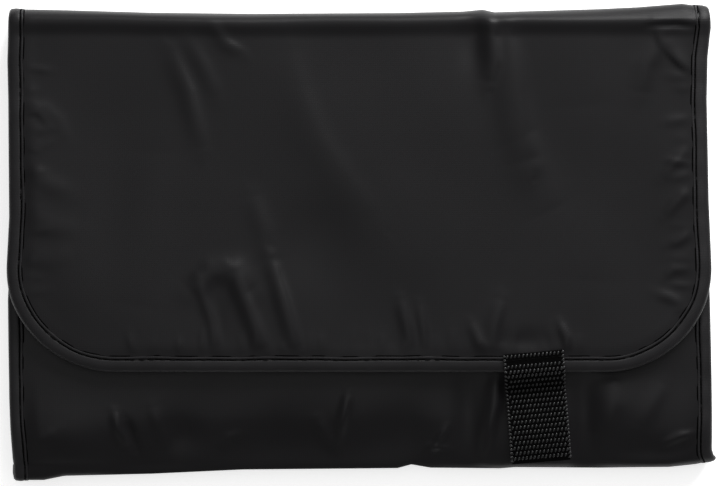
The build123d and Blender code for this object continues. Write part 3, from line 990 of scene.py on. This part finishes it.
def patch_on_front(across, up, height):
    x, y = tab_plan(across, up)
    level = FRONT_TOP + 0.75 - 0.85 * front_drop(np.asarray(y)) + 0.25 * np.sin(np.asarray(y) / 6.5)
    return x, y, level + height


def patch_shape(lay, height):
    def shape(u, v):
        return lay(u * PATCH_WIDE / 2, PATCH_START + (1 - v) / 2 * (PATCH_END - PATCH_START), height + 0 * u)

    return shape


loop_patch = laid_cloth("loop_patch", 60, 60, patch_shape(patch_on_front, 0.1), 0.6, patch_ground)
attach(loop_patch, "front")
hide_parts("front_loop_patch")
hook_patch = laid_cloth("hook_patch", 40, 40, patch_shape(on_tab, -TAB_THICK - 0.05), 0.3, patch_ground)
hook_places = []
for up in np.arange(PATCH_START - 0.8, PATCH_END + 0.6, -1.5):
    for across in np.arange(-10.2, 10.3, 1.2):
        here = np.array(on_tab(across, up, -TAB_THICK - 0.45))
        hook_places.append((here, np.array((0.5, 0.6, -1.0)), np.array((0.0, 1.0, 0.3))))
hooks = placed_copies("hooks", float_points * (0.3, 0.16, 0.16), float_faces, hook_places, webbing_yarn)
for piece in (hook_patch, hooks):
    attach(piece, "closure_tab")
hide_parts("tab_hook_patch")

# ---------------------------------------------------------------------------------------------------------
# Linings
# Smooth charcoal polyester taffeta behind every section. It is held by the tapes at its edges, lies a little
# loose between them, and turns at the two folds.
lining_taffeta, tree, shader = new_material(
    "charcoal_polyester_taffeta", "#26262a", Roughness=0.5, Specular_IOR_Level=0.3, Sheen_Weight=0.1,
    Sheen_Roughness=0.4,
)
place = add_node(tree, "ShaderNodeTexCoord").outputs["Object"]
ripstop = []
for axis in ("X", "Y"):
    ripstop.append(add_node(
        tree, "ShaderNodeTexWave",
        {"Vector": place, "Scale": math.pi / (10 * 0.8 * MM), "Distortion": 0.4},
        bands_direction=axis,
    ))
weave = add_node(
    tree, "ShaderNodeMath", {0: ripstop[0].outputs["Fac"], 1: ripstop[1].outputs["Fac"]}, operation="MULTIPLY"
)
cloudy = add_node(tree, "ShaderNodeTexNoise", {"Vector": place, "Scale": 40.0, "Detail": 4.0})
tint = add_node(tree, "ShaderNodeValToRGB", {"Fac": cloudy.outputs["Fac"]}, shader.inputs["Base Color"])
tint.color_ramp.elements[0].color = linear("#1f1f23")
tint.color_ramp.elements[1].color = linear("#2c2c31")
add_node(
    tree, "ShaderNodeBump", {"Height": weave.outputs["Value"], "Distance": 0.00004, "Strength": 0.5},
    shader.inputs["Normal"],
)


def slack(x, y, tall=0.35):
    """The small uneven waves of a lining that lies a little loose."""
    return tall * (
        np.sin(x / 13 + 0.7 * np.sin(y / 21)) * np.sin(y / 16 + 0.9)
        + 0.5 * np.sin(x / 5.5 + y / 9) * np.sin(y / 7.5 - x / 17)
    )


FOLD_IN = 95.0
BACK_LINING = 3.0
LINING_EDGE = 5.5
FRONT_LINING = 16.9
LINING_THICK = 0.3
LINING_ROLL = (71, 24, 2.2)
lining_line = [
    (-FOLD_IN, BOTTOM_MIDDLE),
    *roll(-LINING_ROLL[0], -LINING_ROLL[1], BOTTOM_MIDDLE, FRONT_LINING - BOTTOM_MIDDLE, LINING_ROLL[2]),
    (-5.0, FRONT_LINING),
]


def front_lining_level(x, y):
    """The height of the front section's lining, which follows the cloth down at its rounded lower edge."""
    begins, wide, power = LINING_ROLL
    reach = np.clip((-y - begins) / wide, 0, 1)
    fall = (FRONT_LINING - BOTTOM_MIDDLE) * (1 - (1 - reach ** power) ** (1 / power))
    cloth = FRONT_TOP - front_drop(y) + front_relief(x, y) * smooth(-y, 44, 62)
    return np.minimum(FRONT_LINING - fall, np.maximum(cloth - 1.3, BOTTOM_MIDDLE))


def flap_lining_shape(u, v):
    y = FOLD_IN - (1 - v) / 2 * (FOLD_IN - FLAP_END - 6.0)
    into_corner = np.clip(FLAP_END + CORNER - y, 0, CORNER - LINING_EDGE)
    half = FLAP_HALF - CORNER + np.sqrt(CORNER ** 2 - into_corner ** 2) - LINING_EDGE
    x = u * half
    drop, inner = flap_droop(x, y)
    free = smooth(FOLD_IN - y, 1, 10) * inner * (1 - 0.9 * np.exp(-(x / 30) ** 2) * smooth(-y, 5, 20))
    pressed = np.minimum(1.4 + flap_relief(x, y) * (0.25 + 0.75 * inner), 0)
    z = 25.6 + (pressed - drop) * smooth(FOLD_IN - y, 1, 10) - 0.4 * (slack(x, y) + 0.3) * free
    return *crooked(x, y), z


def back_lining_shape(u, v):
    x, y = u * (HALF - LINING_EDGE), v * FOLD_IN
    free = smooth(FOLD_IN - np.abs(y), 1, 8) * smooth(HALF - LINING_EDGE - np.abs(x), 0, 6)
    z = BACK_LINING - 0.25 * (0.5 - slack(x, y)) * free
    return *crooked(x, y), z


def upright_lining(side, low, high):
    def shape(u, v):
        plan = crooked(u * (HALF - LINING_EDGE), np.full(u.shape, side * FOLD_IN))
        return *plan, low + (1 + v) / 2 * (high - low)

    return shape


def front_lining_shape(u, v):
    y, z = along(lining_line, (1 + v) / 2 * length_of(lining_line))
    x = u * (FRONT_HALF - LINING_EDGE)
    free = smooth(y, -84, -70) * smooth(FRONT_HALF - LINING_EDGE - np.abs(x), 0, 8) * smooth(-y, 5, 12)
    z = np.minimum(z, front_lining_level(x, y)) - 0.4 * (slack(x, y) + 0.3) * free
    return *crooked(x, y), z


linings = (
    ("flap_lining_cloth", (180, 110), flap_lining_shape, (0, 0, -1), "flap", "flap_lining",
     (0.2856, 0.1447), 0.0402),
    ("back_lining_cloth", (150, 100), back_lining_shape, (0, 0, 1), "back", "back_lining",
     (0.287, 0.19), None),
    ("top_fold_lining_cloth", (60, 8), upright_lining(1, 3.4, 25.2), (0, -1, 0), "top_fold_strip",
     "top_fold_lining", (0.287, 0.0218), None),
    ("bottom_fold_lining_cloth", (60, 4), upright_lining(-1, 3.4, BOTTOM_MIDDLE), (0, 1, 0),
     "bottom_fold_strip", "bottom_fold_lining", None, None),
    ("front_lining_cloth", (150, 70), front_lining_shape, (0, 0, -1),
     ("bottom_fold_strip", "front", (0, -0.095, 0.0118), (0, -0.090, 0.0155)), "front_lining",
     (0.285, length_of(lining_line) * MM), None),
)
for name, (columns, rows), shape, outwards, bodies, node, flat, area in linings:
    piece = laid_cloth(name, columns, rows, shape, 0, lining_taffeta)
    facing(piece, outwards)
    give_wall(piece, LINING_THICK)
    joined(piece, bodies)
    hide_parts(node)

# ---------------------------------------------------------------------------------------------------------
# Zipped pockets
# One pocket on the back section's lining and one on the front section's. Each has a body of black nylon net
# and a strip of the same net above the zip, both sewn down at their edges, and a black coil zip between.

# Warp-knitted nylon net: six-sided holes about 1.6 mm apart, drawn as pits between raised yarns, with painted
# shade near black in the pits
pocket_net, tree, shader = new_material(
    "knitted_nylon_pocket_net", "#1b1b1e", Roughness=0.6, Specular_IOR_Level=0.3
)
place = add_node(tree, "ShaderNodeTexCoord").outputs["Object"]
holes = add_node(
    tree, "ShaderNodeTexVoronoi", {"Vector": place, "Scale": 640.0, "Randomness": 0.15},
    feature="DISTANCE_TO_EDGE", voronoi_dimensions="2D",
)
# Grey on the yarns, painted shade near black in the holes
yarn = add_node(tree, "ShaderNodeValToRGB", {"Fac": holes.outputs["Distance"]}, shader.inputs["Base Color"])
yarn.color_ramp.elements[0].position = 0.1
yarn.color_ramp.elements[0].color = linear("#35353a")
yarn.color_ramp.elements[1].position = 0.24
yarn.color_ramp.elements[1].color = linear("#08080a")
add_node(
    tree, "ShaderNodeBump", {"Height": holes.outputs["Distance"], "Distance": 0.0008, "Strength": 0.8},
    shader.inputs["Normal"], invert=True,
)

# Woven polyester zip tape, with fine ribs along its length
zip_web, tree, shader = new_material(
    "woven_polyester_zip_tape", "#151517", Roughness=0.6, Specular_IOR_Level=0.3, Sheen_Weight=0.05
)
place = add_node(tree, "ShaderNodeTexCoord").outputs["Object"]
ribs = add_node(
    tree, "ShaderNodeTexWave", {"Vector": place, "Scale": math.pi / (10 * 0.8 * MM)},
    bands_direction="Y",
)
cords = add_node(
    tree, "ShaderNodeTexWave", {"Vector": place, "Scale": math.pi / (10 * 0.6 * MM)},
    bands_direction="X",
)
weave = add_node(tree, "ShaderNodeMath", {0: ribs.outputs["Fac"], 1: cords.outputs["Fac"]}, operation="ADD")
add_node(
    tree, "ShaderNodeBump", {"Height": weave.outputs["Value"], "Distance": 0.00008, "Strength": 0.6},
    shader.inputs["Normal"],
)

# Extruded nylon filament, wound into the zip's coil
coil_nylon, tree, shader = new_material(
    "extruded_nylon_zip_coil", "#0d0d0e", Roughness=0.32, Specular_IOR_Level=0.5
)
place = add_node(tree, "ShaderNodeTexCoord").outputs["Object"]
dull = add_node(tree, "ShaderNodeTexNoise", {"Vector": place, "Scale": 300.0, "Detail": 3.0})
add_node(
    tree, "ShaderNodeMapRange", {"Value": dull.outputs["Fac"], "To Min": 0.25, "To Max": 0.45},
    shader.inputs["Roughness"],
)

# Zinc alloy with black plating, worn to a duller grey in places
plated_zinc, tree, shader = new_material(
    "black_plated_zinc_alloy", "#2a2a2d", Metallic=1.0, Roughness=0.34
)
place = add_node(tree, "ShaderNodeTexCoord").outputs["Object"]
wear = add_node(
    tree, "ShaderNodeTexNoise", {"Vector": place, "Scale": 420.0, "Detail": 6.0, "Roughness": 0.7}
)
tint = add_node(tree, "ShaderNodeValToRGB", {"Fac": wear.outputs["Fac"]}, shader.inputs["Base Color"])
tint.color_ramp.elements[0].position = 0.45
tint.color_ramp.elements[0].color = linear("#1c1c1f")
tint.color_ramp.elements[1].position = 0.75
tint.color_ramp.elements[1].color = linear("#5c5a58")
add_node(
    tree, "ShaderNodeMapRange", {"Value": wear.outputs["Fac"], "To Min": 0.24, "To Max": 0.5},
    shader.inputs["Roughness"],
)

POCKET_HALF, POCKET_DEEP, WALL_WIDE = 136.0, 4.6, 3.5


def pocket_wall(inside):
    """How far a pocket has risen at a distance inside its seam: a quarter round, then level."""
    return (1 - (1 - np.clip(inside / WALL_WIDE, 0, 1)) ** 2) ** 0.5


def pocket_shape(away, low, high, open_end, bulge):
    """A shallow pocket part: its top stands off the lining, and it comes down to it at its sewn sides."""

    def shape(u, v):
        x, y = u * POCKET_HALF, low + (1 + v) / 2 * (high - low)
        on = BACK_LINING if away > 0 else front_lining_level(x, y)
        from_sides = POCKET_HALF - np.abs(x)
        from_end = (y - low) if open_end > 0 else (high - y)
        wall = pocket_wall(from_sides) * pocket_wall(from_end)
        from_ends = np.minimum(y - low, high - y)
        loose = smooth(from_sides, 3, 22) * smooth(from_end, 3, 18) * smooth(from_ends, 0, 14)
        gathered = 0.35 * np.sin(x / 3.1 + 0.8 * np.sin(x / 11)) * np.exp(-from_end / 9) * (from_end > 3)
        rise = 0.15 + POCKET_DEEP * wall + loose * bulge * slack(x, y, 1.0) * 0.3 + gathered * 0.4 * wall
        return *crooked(x, y), on + away * rise

    return shape


# One turn of the coil as it shows on the zip's face
tooth_points, tooth_faces = bead(5)
tooth_points = tooth_points * (0.98, 0.42, 0.82) * (1.25, 1, 1)
COIL_PITCH = 1.2
pockets = (
    ("back", 1, (-86.0, 56.6), (76.8, 84.0), 67.8),
    ("front", -1, (-86.0, -35.4), (-15.2, -8.0), -24.2),
)
for name, away, (low, high), (head_low, head_high), zip_y in pockets:
    nets, zip_parts = [], []
    for word, start, stop, open_end, bulge, (columns, rows) in (
        ("panel", low, high, 1, 1.0, (150, 80)), ("header", head_low - 6, head_high, -1, 0.0, (150, 20)),
    ):
        shape = pocket_shape(away, start, stop, open_end, bulge)
        piece = laid_cloth(f"{name}_pocket_{word}_net", columns, rows, shape, 0, pocket_net)
        facing(piece, (0, 0, away))
        give_wall(piece, LINING_THICK)
        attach(piece, name)
        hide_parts(f"{name}_pocket_{word}")
        nets.append((piece, (stop - start + 3.0) * MM))
    for word, side in (("lower", -1), ("upper", 1)):
        tape_low, tape_high = (np.array(corner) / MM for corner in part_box(f"{name}_zip_tape_{word}"))

        def zip_tape_shape(u, v):
            x = u * (tape_high[0] - tape_low[0]) / 2
            y = (tape_low[1] + tape_high[1]) / 2 + v * (tape_high[1] - tape_low[1]) / 2
            top = tape_high[2] if away > 0 else tape_low[2]
            return x, y, top + away * 0.1 * np.sin(x / 9 + side) * np.abs(y - zip_y) / 9

        web = laid_cloth(f"{name}_zip_web_{word}", 160, 10, zip_tape_shape, 0, zip_web)
        facing(web, (0, 0, away))
        give_wall(web, tape_high[2] - tape_low[2])
        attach(web, name)
        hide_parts(f"{name}_zip_tape_{word}")
        coil_low, coil_high = (np.array(corner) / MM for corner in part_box(f"{name}_zip_coil_{word}"))
        middle = (coil_low + coil_high) / 2
        places = []
        for x in np.arange(coil_low[0] + 0.7, coil_high[0] - 0.6, COIL_PITCH):
            spot = np.array((x + (COIL_PITCH / 2 if side > 0 else 0.0), middle[1] - side * 0.22, middle[2]))
            places.append((spot, np.array((0.22 * side, 1.0, 0.0)), np.array((0.0, 0.0, float(away)))))
        coil = placed_copies(f"{name}_zip_teeth_{word}", tooth_points, tooth_faces, places, coil_nylon)
        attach(coil, name)
        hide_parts(f"{name}_zip_coil_{word}")
        zip_parts += [web, coil]
    for word in ("zip_stop_left", "zip_stop_right", "zip_slider", "zip_pull"):
        metal = bpy.data.objects[f"{name}_{word}"]
        for slot in metal.material_slots:
            slot.material = plated_zinc

# ---------------------------------------------------------------------------------------------------------
# Hanger
# A flat hook of black moulded plastic turns on a rivet. The rivet is set through a patch of webbing that is
# sewn to the flap's lining near its free edge.
moulded, tree, shader = new_material("black_moulded_acetal_plastic", "#101012", Roughness=0.38)
place = add_node(tree, "ShaderNodeTexCoord").outputs["Object"]
spark = add_node(tree, "ShaderNodeTexNoise", {"Vector": place, "Scale": 1800.0, "Detail": 3.0})
rubbed = add_node(tree, "ShaderNodeTexNoise", {"Vector": place, "Scale": 90.0, "Detail": 4.0})
add_node(
    tree, "ShaderNodeMapRange", {"Value": rubbed.outputs["Fac"], "To Min": 0.3, "To Max": 0.52},
    shader.inputs["Roughness"],
)
add_node(
    tree, "ShaderNodeBump", {"Height": spark.outputs["Fac"], "Distance": 0.00005, "Strength": 0.4},
    shader.inputs["Normal"],
)
for node, finish in (("hanger_hook", moulded), ("hook_rivet", plated_zinc)):
    for slot in bpy.data.objects[node].material_slots:
        slot.material = finish


def on_lining(across, up, height):
    if np.ndim(across):
        return across, up, 24.4 + 0 * across - height
    return float(across), float(up), 24.4 - float(height)


def mirrored(across, up, height):
    return on_lining(-across, up, height)


hook_web, hook_web_floats = webbing("hook_webbing_patch", 25.4, -46.7, -24.7, mirrored)
for piece in (hook_web, hook_web_floats):
    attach(piece, "flap")
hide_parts("hook_webbing")
